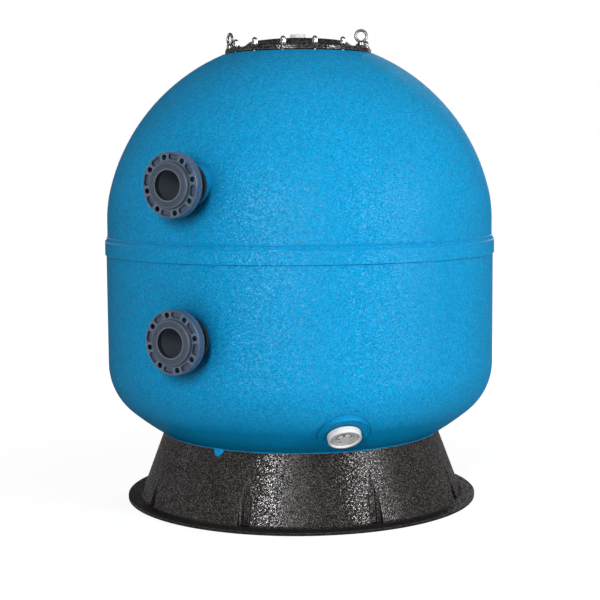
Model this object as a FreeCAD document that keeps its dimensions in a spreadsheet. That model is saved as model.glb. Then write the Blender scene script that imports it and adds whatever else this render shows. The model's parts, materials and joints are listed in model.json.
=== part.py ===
"""Commercial sand filter for a swimming pool: a glass-fibre vessel on a black skirt.

Millimetres.  The origin is the centre of the foot's underside, +Z is up, and both flanged
ports face -Y.  Angles round the vessel are measured from -Y towards +X.
"""
import FreeCAD, Part
import math
import os
import Sketcher

# Driving dimensions: name, value, what it is
SIZES = [
    ("shell_radius", 700.0, "outside radius of the upper shell"),
    ("shell_wall", 9.0, "laminate thickness of both shells"),
    ("bond_gap", 0.3, "glue line between bonded pieces"),
    ("dish_clearance", 106.02, "lowest point of the bottom dish above the floor"),
    ("lower_wall_height", 398.0, "straight wall of the lower shell up to the seam"),
    ("lower_step", 4.5, "how far the lower shell stands out from the upper one"),
    ("band_step", 9.0, "how far the seam band stands out from the upper shell"),
    ("band_height", 48.0, "straight part of the seam band"),
    ("band_lip", 14.0, "sloping lip above the seam band"),
    ("band_wall", 6.0, "laminate thickness of the seam band"),
    ("upper_skirt", 60.0, "straight wall of the upper shell above the band"),
    ("dome_knuckle", 463.4, "radius of the dome's knuckle"),
    ("dome_crown_extra", 7.4, "dome crown radius beyond the shell radius"),
    ("dish_knuckle", 214.0, "radius of the bottom dish's knuckle"),
    ("dish_crown", 975.6, "crown radius of the bottom dish"),
    ("bolt_circle_radius", 247.0, "circle of the lid studs"),
    ("bolt_count", 14, "number of lid studs"),
    ("bolt_phase", 18.3, "angle of the first lid stud"),
    ("neck_land", 47.0, "width of the neck from the manhole to the stud circle"),
    ("rim_margin", 18.0, "lid rim beyond the stud circle"),
    ("landing_margin", 13.0, "flat landing of the dome beyond the lid"),
    ("landing_depth", 26.0, "thickness of the dome's landing"),
    ("stud_radius", 6.0, "lid stud"),
    ("stud_embed", 20.0, "depth of the stud in the landing"),
    ("stud_reach", 15.0, "stud above the washer"),
    ("stud_clearance", 1.0, "lid hole round the stud"),
    ("gasket_thickness", 5.5, "lid gasket as compressed"),
    ("gasket_inset", 5.0, "gasket back from the manhole's edge"),
    ("lid_rim", 14.5, "thickness of the lid rim"),
    ("lid_wall", 10.0, "thickness of the lid's crown"),
    ("lid_step_inset", 34.0, "foot of the crown inside the stud circle"),
    ("lid_slope", 35.0, "width of the crown's sloping side"),
    ("lid_rise", 26.0, "height of the crown's shoulder above the rim"),
    ("lid_dome_rise", 12.5, "centre of the crown above its shoulder"),
    ("lid_crown_curve", 1100.0, "radius of the crown's shallow dome"),
    ("lid_round", 4.0, "rounded edge of the lid rim"),
    ("nut_boss_radius", 15.0, "raised pad under each lid nut"),
    ("nut_boss_height", 6.0, "height of the raised pad"),
    ("washer_radius", 12.0, "lid washer"),
    ("washer_thickness", 2.5, "lid washer"),
    ("nut_flats", 19.0, "dome nut across flats"),
    ("nut_hex_height", 10.0, "hexagon of the dome nut"),
    ("nut_dome_height", 12.0, "dome above the hexagon"),
    ("thread_gap", 0.3, "nut bore round the plain stud"),
    ("eye_section", 5.0, "radius of the lifting eye's bar"),
    ("eye_ring_radius", 19.5, "centre line of the lifting eye's ring"),
    ("eye_foot_radius", 12.5, "foot of the lifting eye"),
    ("eye_foot_height", 14.0, "foot of the lifting eye"),
    ("eye_height", 55.0, "lifting eye from its foot to its top"),
    ("vent_hole_radius", 11.0, "hole for the air vent at the lid's centre"),
    ("vent_pad_radius", 40.0, "flat round the air vent"),
    ("vent_flange_radius", 20.0, "flange of the vent body"),
    ("vent_flange_height", 3.0, "flange of the vent body"),
    ("vent_post_radius", 9.0, "threaded post under the vent knob"),
    ("vent_post_height", 8.0, "post above the vent flange"),
    ("vent_bore_radius", 3.0, "air way through the vent body"),
    ("vent_knob_radius", 29.0, "vent knob"),
    ("vent_knob_height", 13.0, "vent knob"),
    ("vent_nut_radius", 17.0, "nut under the lid"),
    ("vent_nut_height", 8.0, "nut under the lid"),
    ("seal_gap", 0.3, "seal or cap clear of the face that it closes on"),
    ("vent_seal_radius", 13.5, "centre line of the vent's seal"),
    ("vent_seal_section", 1.4, "section of the vent's seal"),
    ("turn_gap", 0.2, "running gap round a threaded post or plug"),
    ("outlet_rise", 152.0, "lower port above the dish's spring line"),
    ("port_spacing", 503.0, "upper port above the lower port"),
    ("port_standoff", 119.5, "sealing faces beyond the lower shell"),
    ("port_boss_wall", 15.0, "moulded boss round each pipe"),
    ("port_boss_reach", 12.0, "boss face beyond the lower shell"),
    ("pipe_radius", 55.0, "outside radius of the 110 mm pipe"),
    ("pipe_wall", 7.0, "wall of the 110 mm pipe"),
    ("socket_gap", 0.15, "cement gap in a pipe socket"),
    ("socket_wall", 10.35, "wall of a pipe socket"),
    ("socket_depth", 49.0, "pipe in a socket"),
    ("socket_land", 8.0, "socket floor to the bend or the inside"),
    ("stub_length", 69.0, "stub flange along the pipe"),
    ("collar_overhang", 9.5, "stub flange's collar beyond its neck"),
    ("collar_thickness", 12.0, "stub flange's collar"),
    ("collar_round", 4.0, "rounded edge of the collar"),
    ("face_groove_count", 3, "sealing grooves in the collar's face"),
    ("face_groove_margin", 7.0, "first sealing groove outside the bore"),
    ("face_groove_pitch", 5.0, "from one sealing groove to the next"),
    ("face_groove_width", 1.6, "sealing groove"),
    ("face_groove_depth", 0.9, "sealing groove"),
    ("ring_clearance", 0.5, "loose ring round the neck"),
    ("ring_seat_gap", 0.3, "loose ring behind the collar"),
    ("ring_width", 40.0, "loose ring from bore to rim"),
    ("ring_thickness", 32.0, "loose ring"),
    ("ring_round", 4.0, "rounded rim of the loose ring"),
    ("ring_edge", 16.0, "bolt holes inside the ring's rim"),
    ("ring_hole_radius", 9.0, "bolt holes of the loose ring"),
    ("ring_hole_count", 8, "bolt holes of the loose ring"),
    ("ring_hole_phase", 12.0, "angle of the first bolt hole"),
    ("ring_pocket_depth", 6.0, "hollow between two bolt holes"),
    ("ring_pocket_width", 17.0, "hollow, across the ring"),
    ("ring_pocket_length", 36.0, "hollow, round the ring"),
    ("bend_radius", 110.0, "centre line of the elbows"),
    ("diffuser_drop", 29.6, "diffuser's top below the dome's landing"),
    ("diffuser_radius", 80.0, "slotted head under the manhole"),
    ("diffuser_wall", 6.0, "slotted head"),
    ("diffuser_height", 110.0, "slotted head above its socket"),
    ("diffuser_slot_count", 12, "slots round the head"),
    ("diffuser_slot_width", 14.0, "slot of the head"),
    ("diffuser_slot_margin", 16.0, "solid above and below each slot"),
    ("hub_drop", 169.0, "laterals below the dish's spring line"),
    ("hub_radius", 85.0, "collector hub"),
    ("hub_half_height", 42.0, "collector hub above and below the laterals"),
    ("hub_floor", 10.0, "closed bottom of the hub"),
    ("lateral_count", 8, "laterals round the hub"),
    ("lateral_phase", 22.5, "angle of the first lateral"),
    ("lateral_radius", 25.0, "lateral"),
    ("lateral_wall", 3.0, "lateral"),
    ("lateral_socket", 25.0, "lateral in the hub's wall"),
    ("lateral_end_gap", 18.0, "lateral's end clear of the dish"),
    ("lateral_slot_count", 10, "slots under each lateral"),
    ("lateral_slot_width", 4.0, "slot along the lateral"),
    ("lateral_slot_depth", 14.0, "slot up into the lateral"),
    ("lateral_slot_margin", 45.0, "solid ends of a lateral's slotted length"),
    ("drain_angle", 43.3, "drain round the vessel"),
    ("drain_pad_radius", 88.0, "flat pad moulded for the drain"),
    ("drain_pad_rise", 2.0, "pad face beyond the knuckle"),
    ("drain_seat_cut", 0.5, "flat seat cut into the inside of the pad"),
    ("drain_hole_radius", 41.0, "hole through the pad"),
    ("drain_hole_gap", 0.3, "drain body in its hole"),
    ("drain_bore_radius", 32.0, "bore of the drain body"),
    ("drain_flange_radius", 57.0, "outer flange of the drain body"),
    ("drain_flange_thickness", 8.0, "outer flange of the drain body"),
    ("drain_gasket_thickness", 2.0, "flat gasket under the flange"),
    ("drain_nut_radius", 54.0, "lock nut inside the vessel"),
    ("drain_nut_height", 14.0, "lock nut inside the vessel"),
    ("drain_body_tail", 10.0, "drain body beyond the lock nut"),
    ("drain_cap_radius", 56.0, "screw cap"),
    ("drain_cap_height", 13.5, "screw cap"),
    ("drain_cap_rim", 7.0, "rim round the cap's hollow"),
    ("drain_cap_hollow", 8.5, "depth of the cap's hollow"),
    ("drain_boss_radius", 27.0, "boss in the cap's hollow"),
    ("drain_boss_drop", 2.5, "boss below the rim"),
    ("drain_notch_count", 6, "key notches in the boss"),
    ("drain_notch_width", 9.0, "key notch"),
    ("drain_notch_length", 9.0, "key notch, in from the boss's edge"),
    ("drain_plug_length", 20.0, "threaded plug behind the cap"),
    ("drain_seal_radius", 38.0, "centre line of the cap's seal"),
    ("drain_seal_section", 2.0, "section of the cap's seal"),
    ("seal_groove_gap", 0.3, "groove round a seal"),
    ("strainer_length", 46.0, "strainer beyond the drain body"),
    ("strainer_wall", 4.0, "strainer"),
    ("strainer_slot_count", 8, "slots round the strainer"),
    ("strainer_slot_width", 5.0, "slot of the strainer"),
    ("skirt_foot_radius", 596.0, "outside of the skirt at the floor"),
    ("skirt_drain_gap", 98.0, "top of the skirt inside the drain cap's lowest edge"),
    ("skirt_wall", 10.0, "skirt, measured level"),
    ("foot_flange_width", 46.0, "foot flange beyond the skirt"),
    ("foot_thickness", 10.0, "foot flange"),
    ("foot_fillet", 12.0, "inside corner of skirt and flange"),
    ("cradle_width", 60.0, "seat that hugs the dish"),
    ("cradle_thickness", 9.0, "seat that hugs the dish"),
    ("flute_count", 8, "hollow flutes in the skirt"),
    ("flute_phase", 11.0, "angle of the first flute"),
    ("flute_height", 150.0, "top of the flute above the floor"),
    ("flute_depth", 31.0, "flute's back behind the skirt at the foot flange"),
    ("flute_back_width", 41.0, "back of the flute between its side walls"),
    ("flute_splay", 0.15, "slope of the flute's side walls"),
    ("flute_corner", 12.0, "fillet between the back and a side wall"),
    ("anchor_inset", 27.0, "anchor holes inside the foot's edge"),
    ("anchor_hole_radius", 9.0, "anchor hole"),
]


class Size:
    """A length or angle: the text that the sheet works out, and its value now."""

    def __init__(self, text, value):
        self.text = text
        self.value = float(value)

    def joined(self, other, sign, value):
        return Size(f"({self.text} {sign} {other.text})", value)

    def __add__(self, other):
        other = as_size(other)
        return self.joined(other, "+", self.value + other.value)

    def __sub__(self, other):
        other = as_size(other)
        return self.joined(other, "-", self.value - other.value)

    def __mul__(self, other):
        other = as_size(other)
        return self.joined(other, "*", self.value * other.value)

    def __truediv__(self, other):
        other = as_size(other)
        return self.joined(other, "/", self.value / other.value)

    def __radd__(self, other):
        return as_size(other) + self

    def __rsub__(self, other):
        return as_size(other) - self

    def __rmul__(self, other):
        return as_size(other) * self

    def __rtruediv__(self, other):
        return as_size(other) / self

    def __neg__(self):
        return as_size(0) - self


def as_size(number):
    return number if isinstance(number, Size) else Size(repr(float(number)), number)


def root(size):
    return Size(f"sqrt({size.text})", math.sqrt(size.value))


def sine(degrees):
    degrees = as_size(degrees)
    return Size(f"sin({degrees.text})", math.sin(math.radians(degrees.value)))


def cosine(degrees):
    degrees = as_size(degrees)
    return Size(f"cos({degrees.text})", math.cos(math.radians(degrees.value)))


def angle_of(rise, run):
    """The angle in degrees of a slope."""
    return Size(f"(atan2({rise.text}; {run.text}) / 1 deg)", math.degrees(math.atan2(rise.value, run.value)))


def leg(slant, other):
    """The other short side of a right-angled triangle."""
    return root(slant * slant - other * other)


doc = FreeCAD.newDocument("pool_filter")
sheet = doc.addObject("Spreadsheet::Sheet", "Sizes")
for row, (alias, value, meaning) in enumerate(SIZES, start=1):
    sheet.set(f"A{row}", meaning)
    sheet.set(f"B{row}", str(value))
    sheet.setAlias(f"B{row}", alias)
doc.recompute()
CELL = {alias: Size(f"Sizes.{alias}", value) for alias, value, _ in SIZES}
subparts = []


# Helpers for bodies, sketches and features

def bind(thing, prop, size):
    thing.setExpression(prop, as_size(size).text)


def body(label):
    made = doc.addObject("PartDesign::Body", label)
    made.Label = label
    subparts.append(made)
    return made


def origin_feature(owner, role):
    return next(f for f in owner.Origin.OriginFeatures if f.Role == role)


def sketch_on(owner, role, lift=None, turn=0.0):
    """A sketch on one of the body's own origin planes, lifted along its normal and turned in it."""
    made = owner.newObject("Sketcher::SketchObject", f"{owner.Name}_sketch")
    made.AttachmentSupport = [(origin_feature(owner, role), "")]
    made.MapMode = "FlatFace"
    turned = FreeCAD.Rotation(FreeCAD.Vector(0, 0, 1), as_size(turn).value)
    made.AttachmentOffset = FreeCAD.Placement(FreeCAD.Vector(0, 0, as_size(lift or 0).value), turned)
    if lift is not None:
        bind(made, "AttachmentOffset.Base.z", lift)
    if isinstance(turn, Size):
        bind(made, "AttachmentOffset.Rotation.Angle", turn)
    return made


def pin_point(sketch, geometry, end, x, y):
    """Ties one end of a line or arc to its place in the sketch."""
    for kind, axis, size in (("DistanceX", -2, as_size(x)), ("DistanceY", -1, as_size(y))):
        if size.value == 0.0:
            sketch.addConstraint(Sketcher.Constraint("PointOnObject", geometry, end, axis))
        else:
            number = sketch.addConstraint(
                Sketcher.Constraint(kind, -1, 1, geometry, end, size.value))
            bind(sketch, f"Constraints[{number}]", size)


def arc_between(start, finish, radius, leftward):
    """The short arc of a radius between two points; its centre lies left or right of the way."""
    (x0, y0), (x1, y1) = start, finish
    half = math.hypot(x1 - x0, y1 - y0) / 2
    away = math.sqrt(max(radius * radius - half * half, 0.0)) * (1 if leftward else -1)
    cx = (x0 + x1) / 2 - (y1 - y0) / (2 * half) * away
    cy = (y0 + y1) / 2 + (x1 - x0) / (2 * half) * away
    first = math.atan2(y0 - cy, x0 - cx)
    last = math.atan2(y1 - cy, x1 - cx)
    if not leftward:
        first, last = last, first
    circle = Part.Circle(FreeCAD.Vector(cx, cy, 0), FreeCAD.Vector(0, 0, 1), radius)
    return Part.ArcOfCircle(circle, first, last if last > first else last + 2 * math.pi)


def outline(sketch, steps):
    """A closed outline.  Each step is (x, y) or (x, y, radius, leftward): the edge that leaves
    that point is then an arc, whose centre lies to the left of the way when leftward is true."""
    places = [(as_size(step[0]), as_size(step[1])) for step in steps]
    ends = []
    for index, step in enumerate(steps):
        start = tuple(c.value for c in places[index])
        finish = tuple(c.value for c in places[(index + 1) % len(steps)])
        if len(step) == 2:
            line = Part.LineSegment(FreeCAD.Vector(*start, 0), FreeCAD.Vector(*finish, 0))
            ends.append((sketch.addGeometry(line, False), 1, 2, None))
        else:
            arc = arc_between(start, finish, as_size(step[2]).value, step[3])
            near, far = (1, 2) if step[3] else (2, 1)
            ends.append((sketch.addGeometry(arc, False), near, far, as_size(step[2])))
    for index, (geometry, near, far, radius) in enumerate(ends):
        following = ends[(index + 1) % len(ends)]
        sketch.addConstraint(Sketcher.Constraint("Coincident", geometry, far, following[0], following[1]))
        pin_point(sketch, geometry, near, *places[index])
        if radius is not None:
            number = sketch.addConstraint(Sketcher.Constraint("Radius", geometry, radius.value))
            bind(sketch, f"Constraints[{number}]", radius)
    return sketch


def circle_in(sketch, x, y, radius):
    x, y, radius = as_size(x), as_size(y), as_size(radius)
    centre = FreeCAD.Vector(x.value, y.value, 0)
    number = sketch.addGeometry(Part.Circle(centre, FreeCAD.Vector(0, 0, 1), radius.value), False)
    pin_point(sketch, number, 3, x, y)
    held = sketch.addConstraint(Sketcher.Constraint("Radius", number, radius.value))
    bind(sketch, f"Constraints[{held}]", radius)
    return sketch


def feature(owner, kind, sketch=None, **plain):
    made = owner.newObject(f"PartDesign::{kind}", f"{owner.Name}_{kind.lower()}")
    if sketch is not None:
        made.Profile = sketch
    for name, value in plain.items():
        setattr(made, name, value)
    return made


def turned(owner, steps, cut=False):
    """A solid, or a hollow when cut is true, turned about the body's own Z axis."""
    sketch = outline(sketch_on(owner, "XZ_Plane"), steps)
    made = feature(owner, "Groove" if cut else "Revolution", sketch, Angle=360.0)
    made.ReferenceAxis = (sketch, ["V_Axis"])
    return made


def padded(owner, sketch, length):
    made = feature(owner, "Pad", sketch)
    bind(made, "Length", length)
    return made


def pocketed(owner, sketch, length, ahead=False):
    """A hollow of a length behind the sketch, or ahead of it, along its normal."""
    made = feature(owner, "Pocket", sketch, Reversed=ahead)
    bind(made, "Length", length)
    return made


def repeated(owner, originals, count):
    """The features again, evenly round the body's own Z axis."""
    made = feature(owner, "PolarPattern", Originals=originals, Angle=360.0)
    made.Axis = (origin_feature(owner, "Z_Axis"), [""])
    bind(made, "Occurrences", count)
    owner.Tip = made
    return made


def tube(label, outer, inner, start, finish):
    """A straight pipe along its own Z axis."""
    made = body(label)
    ring = sketch_on(made, "XY_Plane", start)
    circle_in(ring, 0, 0, outer)
    circle_in(ring, 0, 0, inner)
    padded(made, ring, finish - start)
    return made


def spot(radius, angle):
    """A point at an angle round the vessel, from -Y towards +X."""
    return radius * sine(angle), -(radius * cosine(angle))


def facing_front(made, height):
    """Stands a piece's own Z axis along -Y at a height."""
    made.Placement = FreeCAD.Placement(FreeCAD.Vector(0, 0, height.value),
                                       FreeCAD.Rotation(FreeCAD.Vector(1, 0, 0), 90))
    bind(made, "Placement.Base.z", height)


def leaning(made, prop, centre, angle, tilt):
    """Sets a placement whose Z axis points out at an angle round the vessel, tilted down."""
    x, y = spot(centre[0], angle)
    place = {"Base.x": x, "Base.y": y, "Base.z": centre[1], "Rotation.Axis.x": cosine(angle),
             "Rotation.Axis.y": sine(angle), "Rotation.Angle": 90 + tilt}
    axis = FreeCAD.Vector(place["Rotation.Axis.x"].value, place["Rotation.Axis.y"].value, 0)
    setattr(made, prop, FreeCAD.Placement(
        FreeCAD.Vector(x.value, y.value, as_size(centre[1]).value),
        FreeCAD.Rotation(axis, place["Rotation.Angle"].value)))
    for name, size in place.items():
        bind(made, f"{prop}.{name}", size)


# Levels and radii that several pieces share

shell = CELL["shell_radius"]
wall = CELL["shell_wall"]
bond = CELL["bond_gap"]
lower_radius = shell + CELL["lower_step"]
band_radius = shell + CELL["band_step"]

dish_knuckle = CELL["dish_knuckle"]
dish_crown = CELL["dish_crown"]
dish_cos = (lower_radius - dish_knuckle) / (dish_crown - dish_knuckle)
dish_sin = root(1 - dish_cos * dish_cos)
dish_centre = CELL["dish_clearance"] + dish_crown
dish_level = dish_centre - (dish_crown - dish_knuckle) * dish_sin
seam_level = dish_level + CELL["lower_wall_height"]
band_level = seam_level + CELL["band_height"]
lip_level = band_level + CELL["band_lip"]
dome_level = lip_level + CELL["upper_skirt"]

dome_knuckle = CELL["dome_knuckle"]
dome_crown = shell + CELL["dome_crown_extra"]
dome_cos = (shell - dome_knuckle) / (dome_crown - dome_knuckle)
dome_sin = root(1 - dome_cos * dome_cos)
dome_centre = dome_level - (dome_crown - dome_knuckle) * dome_sin

stud_circle = CELL["bolt_circle_radius"]
manhole = stud_circle - CELL["neck_land"]
lid_radius = stud_circle + CELL["rim_margin"]
landing_radius = lid_radius + CELL["landing_margin"]
landing_level = dome_centre + leg(dome_crown, landing_radius)
lid_level = landing_level + CELL["gasket_thickness"]
rim_level = lid_level + CELL["lid_rim"]
nut_level = rim_level + CELL["nut_boss_height"] + CELL["washer_thickness"]
vent_level = rim_level + CELL["lid_rise"] + CELL["lid_dome_rise"]

outlet_level = dish_level + CELL["outlet_rise"]
inlet_level = outlet_level + CELL["port_spacing"]
port_face = lower_radius + CELL["port_standoff"]
boss_face = lower_radius + CELL["port_boss_reach"]
pipe_radius = CELL["pipe_radius"]
pipe_bore = pipe_radius - CELL["pipe_wall"]
socket_radius = pipe_radius + CELL["socket_gap"]
neck_radius = socket_radius + CELL["socket_wall"]
collar_radius = neck_radius + CELL["collar_overhang"]
socket_depth = CELL["socket_depth"]
elbow_leg = socket_depth + CELL["socket_land"]
elbow_end = CELL["bend_radius"] + elbow_leg
hub_level = dish_level - CELL["hub_drop"]

drain_centre = (lower_radius - dish_knuckle, dish_level)
drain_face = dish_knuckle + CELL["drain_pad_rise"]
drain_seat = dish_knuckle - wall + CELL["drain_seat_cut"]
drain_flange_foot = drain_face + CELL["drain_gasket_thickness"]
drain_flange_top = drain_flange_foot + CELL["drain_flange_thickness"]
drain_hole = CELL["drain_hole_radius"]
drain_cap_foot = drain_flange_top + CELL["seal_gap"]
drain_cap_top = drain_cap_foot + CELL["drain_cap_height"]

# The drain stands where the dish's knuckle runs into its crown, square to both, and the skirt's
# top keeps clear of the cap
drain_tilt = angle_of(dish_sin, dish_cos)
skirt_top = (lower_radius - dish_knuckle + drain_cap_top * dish_cos - CELL["drain_cap_radius"] * dish_sin
             - CELL["skirt_drain_gap"])


# Vessel shells

def port_boss(owner, level):
    """Moulded boss where a pipe leaves the shell."""
    ring = circle_in(sketch_on(owner, "XZ_Plane"), 0, level, pipe_radius + CELL["port_boss_wall"])
    padded(owner, ring, boss_face)


def port_hole(owner, level):
    hole = circle_in(sketch_on(owner, "XZ_Plane"), 0, level, pipe_radius + bond)
    pocketed(owner, hole, boss_face + bond, ahead=True)


def stud_row(owner, level, radius, depth):
    """Round holes on the stud circle, going down from a level."""
    hole = circle_in(sketch_on(owner, "XY_Plane", level), *spot(stud_circle, CELL["bolt_phase"]), radius)
    repeated(owner, [pocketed(owner, hole, depth)], CELL["bolt_count"])


def upper_shell():
    made = body("upper_shell")
    turned(made, [
        (0, seam_level), (band_radius, seam_level), (band_radius, band_level), (shell, lip_level),
        (shell, dome_level, dome_knuckle, True),
        (dome_crown * dome_cos, dome_centre + dome_crown * dome_sin, dome_crown, True),
        (landing_radius, landing_level), (0, landing_level)])
    port_boss(made, inlet_level)
    socket = band_radius - CELL["band_wall"]
    inner_crown = dome_crown - wall
    under_landing = landing_level - CELL["landing_depth"]
    turned(made, [
        (0, seam_level), (socket, seam_level), (socket, band_level), (shell - wall, band_level),
        (shell - wall, dome_level, dome_knuckle - wall, True),
        (inner_crown * dome_cos, dome_centre + inner_crown * dome_sin, inner_crown, True),
        (leg(inner_crown, under_landing - dome_centre), under_landing),
        (manhole, under_landing), (manhole, landing_level), (0, landing_level)], cut=True)
    port_hole(made, inlet_level)
    stud_row(made, landing_level, CELL["stud_radius"] + bond, CELL["stud_embed"])


def lower_shell():
    made = body("lower_shell")
    spigot = band_radius - CELL["band_wall"] - bond
    turned(made, [
        (0, dish_centre - dish_crown, dish_crown, True),
        (dish_crown * dish_cos, dish_centre - dish_crown * dish_sin, dish_knuckle, True),
        (lower_radius, dish_level), (lower_radius, seam_level - bond), (spigot, seam_level - bond),
        (spigot, band_level - bond), (0, band_level - bond)])
    port_boss(made, outlet_level)
    pad = sketch_on(made, "XY_Plane")
    leaning(pad, "AttachmentOffset", drain_centre, CELL["drain_angle"], drain_tilt)
    padded(made, circle_in(pad, 0, 0, CELL["drain_pad_radius"]), drain_face)
    inner_crown = dish_crown - wall
    turned(made, [
        (0, dish_centre - inner_crown, inner_crown, True),
        (inner_crown * dish_cos, dish_centre - inner_crown * dish_sin, dish_knuckle - wall, True),
        (lower_radius - wall, dish_level), (lower_radius - wall, band_level - bond),
        (0, band_level - bond)], cut=True)
    port_hole(made, outlet_level)
    for radius, depth in ((CELL["drain_nut_radius"] + 2, drain_seat), (drain_hole, drain_face + bond)):
        round_hole = sketch_on(made, "XY_Plane")
        leaning(round_hole, "AttachmentOffset", drain_centre, CELL["drain_angle"], drain_tilt)
        pocketed(made, circle_in(round_hole, 0, 0, radius), depth, ahead=True)


# Black skirt with its foot flange, flutes and anchor holes

def skirt_outside(level):
    """Outside radius of the skirt at a level."""
    foot = CELL["skirt_foot_radius"]
    seat = dish_centre - leg(dish_crown + bond, skirt_top)
    return foot - (foot - skirt_top) * level / seat


def flute_back(level):
    """Radius of a flute's back at a level: it meets the skirt's outside at the flute's top."""
    low = CELL["foot_thickness"]
    high = CELL["flute_height"]
    start = skirt_outside(low) - CELL["flute_depth"]
    return start + (skirt_outside(high) - start) * (level - low) / (high - low)


def flute_half(radius, back):
    """Half the width between a flute's splayed side walls at a radius from the vessel's axis."""
    return CELL["flute_back_width"] / 2 + CELL["flute_splay"] * (radius - back)


def flute_backing(owner, level):
    """One cross-section of the material behind a flute: it starts inside the skirt's wall."""
    thick = CELL["skirt_wall"]
    back = flute_back(level)
    near = skirt_outside(level) - thick / 2
    wide = flute_half(near, back) + thick
    narrow = flute_half(back, back) + thick
    return outline(sketch_on(owner, "XY_Plane", level, CELL["flute_phase"]), [
        (-wide, -near), (wide, -near), (narrow, -(back - thick)), (-narrow, -(back - thick))])


def flute_hollow(owner, level):
    """One cross-section of a flute's hollow, with fillets between its back and its side walls."""
    back = flute_back(level)
    near = CELL["skirt_foot_radius"] + CELL["skirt_wall"] + CELL["foot_fillet"]
    wide = flute_half(near, back)
    slope = CELL["flute_splay"]
    slant = root(1 + slope * slope)
    fillet = CELL["flute_corner"]
    cut_back = fillet / (slant + slope)
    half = flute_half(back, back)
    floor = half - cut_back
    side = half + cut_back * slope / slant
    side_foot = back + cut_back / slant
    return outline(sketch_on(owner, "XY_Plane", level, CELL["flute_phase"]), [
        (-wide, -near), (wide, -near), (side, -side_foot, fillet, False), (floor, -back),
        (-floor, -back, fillet, False), (-side, -side_foot)])


def base_skirt():
    made = body("base_skirt")
    thick = CELL["skirt_wall"]
    foot = CELL["skirt_foot_radius"]
    rim = foot + CELL["foot_flange_width"]
    plate = CELL["foot_thickness"]
    seat_radius = dish_crown + bond
    under_radius = seat_radius + CELL["cradle_thickness"]
    edge = skirt_top - CELL["cradle_width"]
    inside = skirt_top - thick
    turned(made, [
        (foot - thick, 0), (rim, 0), (rim, plate), (skirt_outside(plate), plate),
        (skirt_top, dish_centre - leg(seat_radius, skirt_top), seat_radius, False),
        (edge, dish_centre - leg(seat_radius, edge)),
        (edge, dish_centre - leg(under_radius, edge), under_radius, True),
        (inside, dish_centre - leg(under_radius, inside))])
    doc.recompute()
    corner_radius = skirt_outside(plate).value
    corner = [f"Edge{n}" for n, edge_found in enumerate(made.Tip.Shape.Edges, start=1)
              if abs(edge_found.BoundBox.XMax - corner_radius) < 0.01
              and abs(edge_found.BoundBox.ZMax - plate.value) < 0.01
              and abs(edge_found.BoundBox.ZMin - plate.value) < 0.01]
    rounded = feature(made, "Fillet", Base=(made.Tip, corner))
    bind(rounded, "Radius", CELL["foot_fillet"])
    # Each flute is a hollow that runs out at its top, with material behind it to keep the wall
    flute_top = CELL["flute_height"]
    bulge = feature(made, "AdditiveLoft", flute_backing(made, as_size(0)))
    bulge.Sections = [flute_backing(made, flute_top)]
    repeated(made, [bulge], CELL["flute_count"])
    hollow = feature(made, "SubtractiveLoft", flute_hollow(made, plate))
    hollow.Sections = [flute_hollow(made, flute_top)]
    repeated(made, [hollow], CELL["flute_count"])
    anchor = circle_in(sketch_on(made, "XY_Plane", plate),
                       *spot(rim - CELL["anchor_inset"], CELL["flute_phase"]), CELL["anchor_hole_radius"])
    repeated(made, [pocketed(made, anchor, plate)], CELL["flute_count"])


# Manhole lid, its gasket and its fasteners

def manhole_lid():
    made = body("manhole_lid")
    step = stud_circle - CELL["lid_step_inset"]
    shoulder = step - CELL["lid_slope"]
    crown = rim_level + CELL["lid_rise"]
    thick = CELL["lid_wall"]
    curve = CELL["lid_crown_curve"]
    pad = CELL["vent_pad_radius"]
    edge = CELL["lid_round"]
    turned(made, [
        (step - thick, lid_level), (lid_radius, lid_level), (lid_radius, rim_level - edge, edge, True),
        (lid_radius - edge, rim_level), (step, rim_level), (shoulder, crown, curve, True),
        (pad, vent_level), (CELL["vent_hole_radius"], vent_level),
        (CELL["vent_hole_radius"], vent_level - thick),
        (pad, vent_level - thick, curve - thick, False), (shoulder - thick / 2, crown - thick)])
    boss = circle_in(sketch_on(made, "XY_Plane", lid_level),
                     *spot(stud_circle, CELL["bolt_phase"]), CELL["nut_boss_radius"])
    repeated(made, [padded(made, boss, CELL["lid_rim"] + CELL["nut_boss_height"])], CELL["bolt_count"])
    stud_row(made, rim_level + CELL["nut_boss_height"], CELL["stud_radius"] + CELL["stud_clearance"],
             CELL["lid_rim"] + CELL["nut_boss_height"])


def lid_gasket():
    outer = stud_circle - CELL["stud_radius"] - CELL["stud_clearance"] - 2
    tube("lid_gasket", outer, manhole + CELL["gasket_inset"], landing_level, lid_level)


def lid_studs():
    made = body("lid_studs")
    foot = landing_level - CELL["stud_embed"] + bond
    stud = circle_in(sketch_on(made, "XY_Plane", foot), *spot(stud_circle, CELL["bolt_phase"]),
                     CELL["stud_radius"])
    repeated(made, [padded(made, stud, nut_level + CELL["stud_reach"] - foot)], CELL["bolt_count"])


def lid_washers():
    made = body("lid_washers")
    foot = nut_level - CELL["washer_thickness"]
    place = spot(stud_circle, CELL["bolt_phase"])
    ring = sketch_on(made, "XY_Plane", foot)
    circle_in(ring, *place, CELL["washer_radius"])
    circle_in(ring, *place, CELL["stud_radius"] + CELL["thread_gap"])
    repeated(made, [padded(made, ring, CELL["washer_thickness"])], CELL["bolt_count"])


def at_stud(made, number):
    """Moves a piece made on the axis to a stud, by its number round the circle."""
    angle = CELL["bolt_phase"] + 360 * as_size(number) / CELL["bolt_count"]
    x, y = spot(stud_circle, angle)
    made.Placement.Base = FreeCAD.Vector(x.value, y.value, nut_level.value)
    for name, size in (("x", x), ("y", y), ("z", nut_level)):
        bind(made, f"Placement.Base.{name}", size)


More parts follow.
